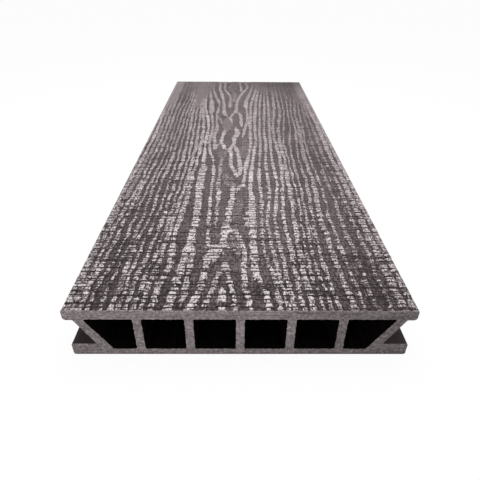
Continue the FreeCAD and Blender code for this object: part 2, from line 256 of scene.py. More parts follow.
# How the side lines wander between the stations, and the lightness of each side
LINE_WANDER = 0.25
LINE_WAVE = 23.0
POINTS_PER_WAVE = 4
LEFT_LIGHTNESS = 0.84
RIGHT_LIGHTNESS = 0.89

# Every line swells and narrows, gets a little broader far along the board, and tapers to each end that meets
# no other end
LINE_SWELL = (0.72, 1.25)
LINE_SWELL_SPACING = 14.0
WIDENING = 0.08
WIDENING_PLACES = (90.0, 230.0)
TAPER_TIP = 0.35
TAPER_LENGTH = 7.0
MEETING_ENDS = 3.2

# Ground stays between two lines for this far from the middle of the gap, unless the lines come close and join
GAP_HALF_WIDTH = 0.5
JOINED_LINES = (1.0, 2.4)

# The cuts divide a line into flecks, which differ in place, width and lightness. A few are nearly bare. Far
# along the board they run together, apart from a share of their difference in lightness.
FLECK_SHIFT = 0.25
FLECK_WIDTHS = (0.78, 1.2)
FLECK_TONES = (0.78, 1.0)
TONES_KEPT_APART = 0.3
BARE_FLECKS = 0.05
BARE_WIDTH = 0.2
RUN_TOGETHER = 0.7
RUN_TOGETHER_PLACES = (90.0, 190.0)

# The share of its lightness that a stroke loses far along the board, by its place across it
FADING_PLACES = (80.0, 200.0)
FADING_ACROSS = (
    (-64.0, 0.05), (-61.5, 0.12), (-58.0, 0.28), (-52.0, 0.18), (-27.0, 0.15), (-25.0, 0.29), (60.0, 0.29),
    (64.0, 0.12),
)

# Short thin lines scattered at both sides of the figure
HAIR_LINES = 30
HAIR_REACH = (27.0, 67.0)
HAIR_LENGTHS = (18.0, 80.0)
HAIR_LAST_START = BOARD_LENGTH - 30.0
HAIR_POINTS = 6
HAIR_WANDER = 0.4
HAIR_HALF_WIDTHS = (0.25, 0.5)
HAIR_LIGHTNESS = (0.5, 0.75)

# Patches end bluntly, and shades have soft edges
PATCH_BLUNTNESS = 3.0
SHADE_SOFTNESS = 2.5

# Limits of the distance inside a fleck's edge, and the lightness where there is no fleck
OUTSIDE_REACH = -0.85
INSIDE_REACH = 0.5
GROUND_TONE = 0.7

# The press is lighter far along the board, and lightest in its far corners. There the grain ends sooner to
# the sides, over the lips and on one smooth strip left of the figure. The cuts are calmer over the lips.
FAR_PRESS = 0.85
FAR_PRESS_PLACES = (120.0, 300.0)
FAR_SIDE_PRESS = 0.3
FAR_SIDE_PLACES = (325.0, 375.0)
FAR_SIDE_MIDDLE = -5.0
FAR_SIDE_REACH = (13.0, 21.0)
FAR_SIDE_SLANT = 0.7
FAR_SIDE_WANDER = 18.0
FAR_SIDE_WANDER_SPACING = 6.0
LEFT_LIP = (59.5, 63.0)
RIGHT_LIP = (64.5, 67.5)
LIP_CALM = 0.5
FAR_LIP_EARLIER = 50.0
SMOOTH_STRIP_LEFT = (-43.0, -38.0)
SMOOTH_STRIP_RIGHT = (-31.0, -27.0)
FAR_STRIP_EARLIER = 40.0

# Finishes of the mesh, in the order of its materials
FACE, SKIN, SAWN, CHAMBER = range(4)

# Places where the finishes change, in metres from the middle of the board or, for heights, from its underside
SHARP_MARKS = (-0.16, 0.0)
FRONT_EDGE = (-0.188, -0.177)
PALER_GROUND = (-0.195, -0.12)
PALER_MIDDLE_ALONG = (-0.2, -0.15)
PALER_MIDDLE_ACROSS = (0.0, 0.03162)
PALER_RIGHT = (-0.035, 0.01)
DARKER_GROUND = (-0.05, 0.1)
SIDE_BAND = (0.04583, 0.05196)
LIP_BAND = (0.05916, 0.06245)
FAR_END = (0.13, 0.185)
SAWN_RIGHT = (0.01, 0.055)
SAWN_LEFT = (-0.06, -0.01)
HIGHLIGHT_TOP_RIM = (0.0239, 0.0246)
SMEARED_TOP = (0.0205, 0.0215)
CONTACT_SHADOW_FOOT = (0.0003, 0.0009)
SKIN_RIGHT = (0.03, 0.06)

# Colours of the finishes, by shade: 0 is the darkest and 1 the lightest
FACE_COLOURS = [
    (0.0, (0.008, 0.0048, 0.005)), (0.15, (0.035, 0.0252, 0.026)), (0.45, (0.175, 0.146, 0.149)),
    (0.75, (0.41, 0.367, 0.371)), (1.0, (0.61, 0.559, 0.565)),
]
FACE_SHEEN = (1.0, 0.86, 0.87, 1.0)
SAWN_COLOURS = [(0.0, (0.060, 0.049, 0.0505)), (0.5, (0.165, 0.139, 0.142)), (1.0, (0.33, 0.288, 0.293))]
SKIN_COLOURS = [(0.0, (0.017, 0.0108, 0.0117)), (0.5, (0.038, 0.0258, 0.0274)), (1.0, (0.070, 0.052, 0.0545))]
# The chambers' near black colours are painted shade
CHAMBER_SHADE_COLOURS = [(0.0, (0.003, 0.002, 0.002)), (1.0, (0.008, 0.005, 0.005))]

# Shades before any mark changes them, and the heights of the fine bumps in metres
GROUND_SHADE = 0.158
PLAIN_SHADE = 0.275
SAWN_SHADE = 0.5
SKIN_SHADE = 0.5
FACE_BUMP = 0.00012
SAWN_BUMP = 0.00025
SKIN_BUMP = 0.0001

# Values of the noise, of a cut and of a fleck's edge between which a mark comes up from none to full
SCRATCHES = (0.06, 0.12)
NICKS = (0.03, 0.13)
SMEARS = (0.04, 0.18)
SAWN_THROUGH = (0.14, 0.26)
WORN_EDGE = (-0.35, 0.35)
SHADE_BESIDE_FLECK = (-1.4, -0.4)

# Floor, sky and lamps of the studio, in metres and watts
WHITE = (1.0, 1.0, 1.0, 1.0)
FLOOR_WHITE = (0.86, 0.86, 0.86, 1.0)
FLOOR_SIZE = 6.0
FLOOR_DROP = 0.0002
BACKGROUND_SHARE = 0.955
SKY_LEVEL = 0.55
TOP_LAMP = {"place": (0, 0.02, 0.45), "aim": (0, 0.02, 0), "size": 0.35, "power": 2.2}
FRONT_LAMP = {"place": (-0.11, -0.46, 0.03), "aim": (-0.04, -0.19, 0.01), "size": 0.15, "power": 0.36}

# Camera that took the picture: place and nearest distance in metres, angles in degrees, lens and sensor in
# millimetres
CAMERA_PLACE = (-0.00166, -0.3065, 0.13657)
CAMERA_PITCH = 33.584
CAMERA_YAW = 0.586
CAMERA_ROLL = 0.478
CAMERA_LENS = 31.14
SENSOR_WIDTH = 36.0
CLIP_START = 0.01


# Section

def rounded(corners):
    """The outline through corners given as (x, z, radius), each an arc of that radius or a point."""
    outline = []
    for index, (x, z, radius) in enumerate(corners):
        corner = np.array([x, z])
        if radius == 0:
            outline.append((x, z))
            continue
        before = np.array(corners[index - 1][:2]) - corner
        after = np.array(corners[(index + 1) % len(corners)][:2]) - corner
        before /= np.linalg.norm(before)
        after /= np.linalg.norm(after)
        half_turn = math.acos(float(np.clip(before @ after, -1, 1))) / 2
        middle = (before + after) / np.linalg.norm(before + after)
        centre = corner + middle * radius / math.sin(half_turn)
        start = corner + before * radius / math.tan(half_turn) - centre
        end = corner + after * radius / math.tan(half_turn) - centre
        sweep = math.pi - 2 * half_turn
        for step in range(ARC_STEPS + 1):
            part = step / ARC_STEPS
            spoke = (math.sin((1 - part) * sweep) * start + math.sin(part * sweep) * end) / math.sin(sweep)
            outline.append(tuple(centre + spoke))
    return outline


def mirrored(corners):
    """The corners mirrored to the other side of the board, in the opposite order."""
    return [(-x, z, radius) for x, z, radius in reversed(corners)]


def skin_outline():
    """The outside from the right lip down, under the board and up to the left lip."""
    groove_foot = HALF_BOTTOM_WIDTH - GROOVE_FOOT_DEPTH
    groove_head = HALF_WIDTH - GROOVE_HEAD_DEPTH
    lip_under = BOARD_HEIGHT - LIP_THICKNESS
    right = [
        (HALF_WIDTH, BOARD_HEIGHT - LIP_RADIUS, 0),
        (HALF_WIDTH, lip_under, LIP_RADIUS),
        (groove_head, lip_under, GROOVE_RADIUS),
        (groove_foot, WING_THICKNESS, GROOVE_RADIUS),
        (HALF_BOTTOM_WIDTH, WING_THICKNESS, WING_RADIUS),
        (HALF_BOTTOM_WIDTH, 0, WING_RADIUS),
    ]
    return rounded(right + mirrored(right))


def chamber_outlines():
    """The six chambers: rectangular ones between the webs, and one with a slanted wall at each side."""
    ceiling = BOARD_HEIGHT - TOP_PLATE
    clear_half = (WEB_PITCH - WEB_THICKNESS) / 2
    outlines = []
    for number in range(INNER_CHAMBERS):
        middle = (number - (INNER_CHAMBERS - 1) / 2) * WEB_PITCH
        left, right = middle - clear_half, middle + clear_half
        corners = [(left, FLOOR_PLATE), (right, FLOOR_PLATE), (right, ceiling), (left, ceiling)]
        outlines.append(rounded([(x, z, CHAMBER_RADIUS) for x, z in corners]))
    foot_x = HALF_BOTTOM_WIDTH - GROOVE_FOOT_DEPTH
    head_x = HALF_WIDTH - GROOVE_HEAD_DEPTH
    lean = (head_x - foot_x) / (BOARD_HEIGHT - LIP_THICKNESS - WING_THICKNESS)
    web_face = INNER_CHAMBERS / 2 * WEB_PITCH + WEB_THICKNESS / 2
    wall_low = foot_x + lean * (FLOOR_PLATE - WING_THICKNESS) - WALL_FOOT
    wall_high = foot_x + lean * (ceiling - WING_THICKNESS) - WALL_HEAD
    corners = [(web_face, FLOOR_PLATE), (wall_low, FLOOR_PLATE), (wall_high, ceiling), (web_face, ceiling)]
    side = [(x, z, CHAMBER_RADIUS) for x, z in corners]
    outlines.append(rounded(side))
    outlines.append(rounded(mirrored(side)))
    return outlines


def ragged(rng, outline):
    """The outline with points close together on its straight runs, each pushed a little by the saw."""
    points = []
    for start, end in zip(outline, outline[1:] + outline[:1]):
        count = max(1, round(math.dist(start, end) / RAGGED_STEP))
        push = RAGGED_PUSH if count > 1 else 0
        for number in range(count):
            part = number / count
            x = start[0] + (end[0] - start[0]) * part + rng.uniform(-push, push)
            z = start[1] + (end[1] - start[1]) * part + rng.uniform(-push, push)
            points.append((x, z))
    return points


# Curves

def through_points(knots, heights, at):
    """A smooth curve through points, with the slope at each one taken from its neighbours."""
    knots = np.asarray(knots, float)
    heights = np.asarray(heights, float)
    slopes = np.gradient(heights, knots)
    piece = np.clip(np.searchsorted(knots, at) - 1, 0, len(knots) - 2)
    span = knots[piece + 1] - knots[piece]
    t = np.clip((at - knots[piece]) / span, 0, 1)
    rise = heights[piece + 1] - heights[piece]
    ease = t * t * (3 - 2 * t)
    leave = t * (1 - t) ** 2 * span * slopes[piece]
    arrive = t * t * (t - 1) * span * slopes[piece + 1]
    return heights[piece] + rise * ease + leave + arrive


def unsteady(rng, at, spacing, low, high):
    """A value that drifts between low and high, with a new random knot at each spacing."""
    count = int(math.ceil((at.max() - at.min()) / spacing)) + 2
    knots = at.min() + spacing * np.arange(count)
    return through_points(knots, rng.uniform(low, high, count), at)


def smooth_step(value, low, high):
    """0 below low, 1 above high, and a smooth rise between them."""
    t = np.clip((value - low) / (high - low), 0, 1)
    return t * t * (3 - 2 * t)


# Grid

def saw_cuts(rng):
    """Where the cuts across the grain lie along the board."""
    cuts = []
    place = FIRST_CUT
    while place < BOARD_LENGTH - FIRST_CUT:
        cuts.append(place)
        place += rng.uniform(*CUT_SPACING)
    return np.array(cuts)


def grid_rows(cuts):
    """Rows of the face's grid: the two ends, and both edges and the bottom of each cut."""
    edges = [cuts - CUT_HALF_WIDTH, cuts, cuts + CUT_HALF_WIDTH]
    return np.sort(np.concatenate([[0, BOARD_LENGTH], *edges]))


def grid_columns():
    """Columns of the face's grid, as distances from the middle measured over the rounded lips."""
    flat = np.linspace(-FLAT_HALF_WIDTH, FLAT_HALF_WIDTH, FLAT_COLUMNS + 1)
    lip = np.linspace(FLAT_HALF_WIDTH, FACE_HALF_WIDTH, LIP_COLUMNS + 1)[1:]
    return np.concatenate([-lip[::-1], flat, lip])


# Grain

def side_lines(rng):
    """The lines beside the figure, as strokes along the whole board that wander between the stations."""
    step = LINE_WAVE / POINTS_PER_WAVE
    places = np.arange(0, BOARD_LENGTH + step, step)
    strokes = []
    for half_width, lightness, stations in SIDE_LINES:
        across = through_points(STATIONS, stations, places)
        across += LINE_WANDER * np.sin(2 * math.pi * places / LINE_WAVE + rng.uniform(0, 2 * math.pi))
        lightness *= RIGHT_LIGHTNESS if across[0] > 0 else LEFT_LIGHTNESS
        strokes.append((half_width, lightness, list(zip(places, across))))
    return strokes


def hair_lines(rng):
    """Short thin strokes scattered between the others."""
    strokes = []
    for _ in range(HAIR_LINES):
        start = rng.uniform(0, HAIR_LAST_START)
        places = np.linspace(start, min(start + rng.uniform(*HAIR_LENGTHS), BOARD_LENGTH), HAIR_POINTS)
        across = rng.choice([-1, 1]) * rng.uniform(*HAIR_REACH)
        across = across + np.cumsum(rng.uniform(-HAIR_WANDER, HAIR_WANDER, HAIR_POINTS))
        half_width = rng.uniform(*HAIR_HALF_WIDTHS)
        strokes.append((half_width, rng.uniform(*HAIR_LIGHTNESS), list(zip(places, across))))
    return strokes


def tapers(points, ends, rows):
    """How much of its width a stroke has at each row. It tapers to its ends, but not where it meets another
    end or runs out of the board."""
    share = np.ones(len(rows))
    for (along, across), inwards in ((points[0], 1), (points[-1], -1)):
        meets = np.count_nonzero(np.hypot(ends[:, 0] - along, ends[:, 1] - across) < MEETING_ENDS) > 1
        if 0 < along < BOARD_LENGTH and not meets:
            share *= TAPER_TIP + (1 - TAPER_TIP) * smooth_step((rows - along) * inwards, 0, TAPER_LENGTH)
    return share


def stroke_fields(rng, stroke, rows, columns, interval, bare_share=0.0, bluntness=1.0):
    """A stroke's distance from its middle line at each point of the grid, and its half width and lightness at
    each row. The interval says which two cuts a row lies between. The flecks there differ a little near the
    front end, and run together far from it."""
    half_width, lightness, points = stroke
    along, across = np.array(points, float).T
    flecks = interval.max() + 1
    apart = 1 - RUN_TOGETHER * smooth_step(rows, *RUN_TOGETHER_PLACES)
    widths = half_width * unsteady(rng, rows, LINE_SWELL_SPACING, *LINE_SWELL)
    widths *= 1 + WIDENING * smooth_step(rows, *WIDENING_PLACES)
    widths *= 1 + (rng.uniform(*FLECK_WIDTHS, flecks)[interval] - 1) * apart
    widths *= np.where(rng.uniform(0, 1, flecks) < bare_share, BARE_WIDTH, 1.0)[interval] ** apart
    tones_apart = TONES_KEPT_APART + (1 - TONES_KEPT_APART) * apart
    tones = lightness * (1 + (rng.uniform(*FLECK_TONES, flecks)[interval] - 1) * tones_apart)
    fading = np.interp(across.mean(), *zip(*FADING_ACROSS))
    tones *= 1 - fading * smooth_step(rows, *FADING_PLACES)
    middle = through_points(along, across, rows)
    shifted = middle + rng.uniform(-FLECK_SHIFT, FLECK_SHIFT, flecks)[interval] * apart
    slant = np.hypot(1, np.gradient(middle, rows))
    beyond = np.maximum(along[0] - rows, rows - along[-1]).clip(0) * bluntness
    distance = np.hypot((columns - shifted[:, None]) / slant[:, None], beyond[:, None])
    return distance, widths[:, None], tones[:, None]


def fleck_fields(rng, rows, columns, interval):
    """The distance inside the edge of a raised fleck and the fleck's lightness, at each point of the grid."""
    strokes = FIGURE + side_lines(rng)
    ends = np.array([end for _, _, points in strokes for end in (points[0], points[-1])], float)

    def tapered(stroke, bare_share):
        distance, widths, tones = stroke_fields(rng, stroke, rows, columns, interval, bare_share)
        return distance, widths * tapers(stroke[2], ends, rows)[:, None], tones

    lines = [tapered(stroke, BARE_FLECKS) for stroke in strokes]
    hairs = [stroke_fields(rng, stroke, rows, columns, interval) for stroke in hair_lines(rng)]
    patches = [
        stroke_fields(rng, stroke, rows, columns, interval, bluntness=PATCH_BLUNTNESS) for stroke in PATCHES
    ]
    shades = [tapered(stroke, 0.0) for stroke in SHADES]

    reaches = []
    nearest, second = np.sort([distance for distance, _, _ in lines], axis=0)[:2]
    for distance, widths, tones in lines:
        neighbour = np.where(distance > nearest, nearest, second)
        joined = 1 - smooth_step(neighbour, *JOINED_LINES)
        clear = (neighbour - distance) / 2 - GAP_HALF_WIDTH + joined
        reaches.append((np.minimum(widths - distance, clear), tones))
    reaches += [(widths - distance, tones) for distance, widths, tones in hairs + patches]
    reaches += [((widths - distance) / SHADE_SOFTNESS, tones) for distance, widths, tones in shades]

    shape = (len(rows), len(columns))
    inside = np.full(shape, OUTSIDE_REACH)
    lightness = np.full(shape, GROUND_TONE)
    for reach, tones in reaches:
        reach = np.minimum(reach, INSIDE_REACH)
        lightness = np.where(reach > inside, tones, lightness)
        inside = np.maximum(inside, reach)
    return inside, lightness


def on_lips(columns):
    """1 on the strips along both lips, and 0 between them."""
    return smooth_step(-columns, *LEFT_LIP) + smooth_step(columns, *RIGHT_LIP)


def cut_field(rng, rows, columns, cuts):
    """The strength of a saw cut at each point of the grid."""
    cut = np.zeros((len(rows), len(columns)))
    for place in cuts:
        deep = rng.uniform() < DEEP_CUTS
        bite = rng.uniform(*(DEEP_CUT_BITE if deep else CUT_BITE))
        bite *= 1 - CUT_FADE * smooth_step(place, *CUT_FADE_PLACES)
        evenness = unsteady(rng, columns, CUT_EVENNESS_SPACING, *CUT_EVENNESS)
        cut[np.searchsorted(rows, place)] = bite * np.clip(evenness, 0, 1)
    return cut * (1 - LIP_CALM * on_lips(columns))


def press_field(rng, rows, columns):
    """How hard the grain is pressed at each point of the grid."""
    far = smooth_step(rows, *FAR_PRESS_PLACES)[:, None]
    aside = np.abs(columns - FAR_SIDE_MIDDLE)
    on_strip = smooth_step(columns, *SMOOTH_STRIP_LEFT) - smooth_step(columns, *SMOOTH_STRIP_RIGHT)
    earlier = FAR_SIDE_SLANT * aside + FAR_LIP_EARLIER * on_lips(columns) + FAR_STRIP_EARLIER * on_strip
    earlier += unsteady(rng, columns, FAR_SIDE_WANDER_SPACING, -FAR_SIDE_WANDER, FAR_SIDE_WANDER)
    far_side = smooth_step(rows[:, None] + earlier, *FAR_SIDE_PLACES) * smooth_step(aside, *FAR_SIDE_REACH)
    return (1 - (1 - FAR_PRESS) * far) * (1 - (1 - FAR_SIDE_PRESS) * far_side)


# Mesh

def over_lips(columns):
    """The section's place and outward normal at distances from the middle measured over the rounded lips."""
    turn = np.clip(np.abs(columns) - FLAT_HALF_WIDTH, 0, None) / LIP_RADIUS
    flat = np.clip(columns, -FLAT_HALF_WIDTH, FLAT_HALF_WIDTH)
    x = flat + np.sign(columns) * LIP_RADIUS * np.sin(turn)
    z = BOARD_HEIGHT - LIP_RADIUS * (1 - np.cos(turn))
    return x, z, np.sign(columns) * np.sin(turn), np.cos(turn)


def face_points(rng, rows, columns, cuts, inside, cut, press):
    """The walking face's points: raised flecks at full height, with the ground and the cuts pressed in."""
    raised = smooth_step(inside, -GRAIN_SLOPE, GRAIN_SLOPE)
    cut_share = CUT_IN_GROUND + (1 - CUT_IN_GROUND) * raised
    depth = press * (GRAIN_DEPTH * (1 - raised) + CUT_DEPTH * cut * cut_share)
    depth *= 1 - smooth_step(np.abs(columns), FLAT_HALF_WIDTH + RELIEF_ONTO_LIP, FACE_HALF_WIDTH)
    wander = [unsteady(rng, columns, CUT_WANDER_SPACING, -CUT_WANDER, CUT_WANDER) for _ in cuts]
    wander = np.vstack([np.zeros(len(columns)), wander, np.zeros(len(columns))])
    stations = np.concatenate([[0], cuts, [BOARD_LENGTH]])
    shift = np.array([np.interp(rows, stations, wander[:, number]) for number in range(len(columns))]).T
    x, z, normal_x, normal_z = over_lips(columns)
    points = np.empty(inside.shape + (3,))
    points[..., 0] = x - depth * normal_x
    points[..., 1] = rows[:, None] + shift - BOARD_LENGTH / 2
    points[..., 2] = z - depth * normal_z
    return points


class Shell:
    """The board's points and faces as they are added. Each face has a finish, and is smooth or flat."""

    def __init__(self, points):
        self.points = points
        self.faces = []
        self.finishes = []
        self.smooth = []

    def add(self, face, finish, smooth):
        """Adds a face through the points with these numbers."""
        self.faces.append(tuple(face))
        self.finishes.append(finish)
        self.smooth.append(smooth)

    def at_both_ends(self, outline):
        """Adds an outline's points at the front and at the back, and gives their numbers."""
        numbers = []
        for y in (-BOARD_LENGTH / 2, BOARD_LENGTH / 2):
            numbers.append(list(range(len(self.points), len(self.points) + len(outline))))
            self.points.extend((x, y, z) for x, z in outline)
        return numbers


def add_face(shell, grid):
    """The walking face, with a quad between each four neighbouring points of its grid."""
    corners = np.stack([grid[:-1, :-1], grid[:-1, 1:], grid[1:, 1:], grid[1:, :-1]], -1).reshape(-1, 4)
    for corner in corners.tolist():
        shell.add(corner, FACE, True)


def add_skin(shell, grid):
    """The outside below the walking face, from one border of the face's grid round to the other. Gives the
    numbers of its points at both ends."""
    outline = skin_outline()
    front, back = shell.at_both_ends(outline[1:-1])
    shell.add(grid[:, -1].tolist() + [back[0], front[0]], SKIN, False)
    for a in range(len(front) - 1):
        span = math.dist(outline[a + 1], outline[a + 2])
        shell.add((front[a], back[a], back[a + 1], front[a + 1]), SKIN, span < LIP_RADIUS)
    shell.add(grid[::-1, 0].tolist() + [front[-1], back[-1]], SKIN, False)
    return front, back


def add_chamber(shell, outline):
    """One chamber from end to end. Gives the numbers of its points at both ends."""
    front, back = shell.at_both_ends(outline)
    for a in range(len(outline)):
        b = (a + 1) % len(outline)
        span = math.dist(outline[a], outline[b])
        shell.add((front[a], front[b], back[b], back[a]), CHAMBER, span < CHAMBER_RADIUS)
    return front, back


def end_triangles(points, loops):
    """Triangles that fill an end face, between the loop of its outside and those of its chambers. A chamber's
    loop turns to the left, so a triangle with all its corners on that loop lies inside the chamber if they
    turn to the left too, taken in the loop's order."""
    order = [i for loop in loops for i in loop]
    number = {i: position for position, i in enumerate(order)}
    ring = [position for position, loop in enumerate(loops) for _ in loop]
    section = [Vector((points[i][0], points[i][2])) for i in order]
    edges = [(number[a], number[b]) for loop in loops for a, b in zip(loop, loop[1:] + loop[:1])]
    inside_outline = 1
    tolerance = 1e-6
    _, _, triangles, origins, _, _ = delaunay_2d_cdt(section, edges, [], inside_outline, tolerance)
    kept = []
    for triangle in triangles:
        a, b, c = sorted(origins[i][0] for i in triangle)
        turns_left = (section[b] - section[a]).cross(section[c] - section[a]) > 0
        fills_chamber = 0 < ring[a] == ring[c] and turns_left
        if not fills_chamber:
            kept.append((order[a], order[b], order[c]))
    return kept


def board_mesh():
    """The whole board as one closed mesh, with a finish on each face and the grain's values on its points."""
    rng = np.random.default_rng(SEED)
    cuts = saw_cuts(rng)
    rows = grid_rows(cuts)
    columns = grid_columns()
    inside, lightness = fleck_fields(rng, rows, columns, np.searchsorted(cuts, rows))
    cut = cut_field(rng, rows, columns, cuts)
    press = press_field(rng, rows, columns)
    points = face_points(rng, rows, columns, cuts, inside, cut, press)

    shell = Shell([tuple(point) for point in points.reshape(-1, 3)])
    grid = np.arange(inside.size).reshape(inside.shape)
    add_face(shell, grid)
    front, back = add_skin(shell, grid)
    loops_at_ends = ([grid[0].tolist() + front], [grid[-1].tolist() + back])
    for outline in chamber_outlines():
        rings = add_chamber(shell, ragged(rng, outline))
        for loops, ring in zip(loops_at_ends, rings):
            loops.append(ring)
    for loops in loops_at_ends:
        for triangle in end_triangles(shell.points, loops):
            shell.add(triangle, SAWN, False)

    mesh = bpy.data.meshes.new("embossed_board")
    mesh.from_pydata([tuple(c * MILLIMETRE for c in point) for point in shell.points], [], shell.faces)
    mesh.polygons.foreach_set("material_index", shell.finishes)
    mesh.polygons.foreach_set("use_smooth", shell.smooth)
    fields = (
        ("fleck_edge", inside, OUTSIDE_REACH),
        ("fleck_tone", lightness, GROUND_TONE),
        ("saw_cut", cut, 0.0),
        ("grain_press", press, 1.0),
    )
    for name, field, elsewhere in fields:
        values = np.full(len(shell.points), elsewhere, np.float32)
        values[: field.size] = field.ravel()
        mesh.attributes.new(name, "FLOAT", "POINT").data.foreach_set("value", values)
    whole = bmesh.new()
    whole.from_mesh(mesh)
    bmesh.ops.recalc_face_normals(whole, faces=whole.faces)
    whole.to_mesh(mesh)
    whole.free()
    mesh.validate()
    return mesh


# Finishes

class Value:
    """A number that changes over a surface. Arithmetic on values adds Math nodes."""

    def __init__(self, nodes, socket):
        self.nodes = nodes
        self.socket = socket

    def math(self, operation, first, second):
        """A Math node on two values or numbers."""
        return self.nodes.node("ShaderNodeMath", {"operation": operation}, {0: first, 1: second})

    def __add__(self, other):
        return self.math("ADD", self, other)

    __radd__ = __add__

    def __sub__(self, other):
        return self.math("SUBTRACT", self, other)

    def __rsub__(self, other):
        return self.math("SUBTRACT", other, self)

    def __mul__(self, other):
        return self.math("MULTIPLY", self, other)

    __rmul__ = __mul__


class Nodes:
    """A node tree that is filled from nothing."""

    def __init__(self, owner):
        owner.use_nodes = True
        self.tree = owner.node_tree
        self.tree.nodes.clear()

    def node(self, kind, settings=None, inputs=None, output=0):
        """Adds a node: its settings first, then its sockets' values or links. Gives one of its outputs."""
        made = self.tree.nodes.new(kind)
        for name, setting in (settings or {}).items():
            if name == "stops":
                self.set_stops(made.color_ramp, setting)
            else:
                setattr(made, name, setting)
        for socket, value in (inputs or {}).items():
            if isinstance(value, Value):
                self.tree.links.new(value.socket, made.inputs[socket])
            else:
                made.inputs[socket].default_value = value
        return Value(self, made.outputs[output]) if made.outputs else None

    def set_stops(self, ramp, stops):
        """Gives a colour ramp its stops, as places and colours."""
        while len(ramp.elements) < len(stops):
            ramp.elements.new(1.0)
        for element, (place, colour) in zip(ramp.elements, stops):
            element.position = place
            element.color = (*colour, 1.0)

    def attribute(self, name):
        """A value that the mesh carries on its points."""
        return self.node("ShaderNodeAttribute", {"attribute_name": name}, output="Fac")

    def place(self, stretch):
        """Where a point is on the board, stretched along each axis."""
        where = self.node("ShaderNodeTexCoord", output="Object")
        return self.node("ShaderNodeVectorMath", {"operation": "MULTIPLY"}, {0: where, 1: stretch})

    def along(self, axis):
        """Where a point is along one axis of the board, in metres."""
        where = self.node("ShaderNodeTexCoord", output="Object")
        return self.node("ShaderNodeSeparateXYZ", None, {0: where}, output=axis)

    def noise(self, stretch, detail=2.0, roughness=0.5, distortion=0.0):
        """Soft noise from 0 to 1, with so many blots to a metre along each axis."""
        inputs = {
            "Vector": self.place(stretch), "Scale": 1.0, "Detail": detail, "Roughness": roughness,
            "Distortion": distortion,
        }
        return self.node("ShaderNodeTexNoise", None, inputs)

    def mottle(self, stretch, **settings):
        """The same noise, from -0.5 to 0.5."""
        return self.noise(stretch, **settings) - 0.5

    def rise(self, value, low, high):
        """0 below low, 1 above high, and a smooth rise between them."""
        inputs = {0: value, 1: low, 2: high}
        return self.node("ShaderNodeMapRange", {"interpolation_type": "SMOOTHSTEP"}, inputs)

    def rise_outwards(self, across, low, high):
        """0 nearer the board's middle than low, 1 further out than high, and a smooth rise between them."""
        return self.rise(across * across, low ** 2, high ** 2)

    def colours(self, value, stops):
        """A colour for each value from 0 to 1."""
        return self.node("ShaderNodeValToRGB", {"stops": stops}, {0: value})

    def bump(self, height, distance):
        """A normal tilted by small heights, which are this many metres for each 1 of the value."""
        return self.node("ShaderNodeBump", None, {"Height": height, "Distance": distance, "Strength": 1.0})

    def surface(self, **inputs):
        """Ends the tree in a Principled shader. An underscore in a socket's name stands for a space."""
        named = {name.replace("_", " "): value for name, value in inputs.items()}
        shader = self.node("ShaderNodeBsdfPrincipled", None, named)
        self.node("ShaderNodeOutputMaterial", None, {"Surface": shader})


def new_finish(name):
    """A new material, and its nodes to be filled."""
    material = bpy.data.materials.new(name)
    return material, Nodes(material)


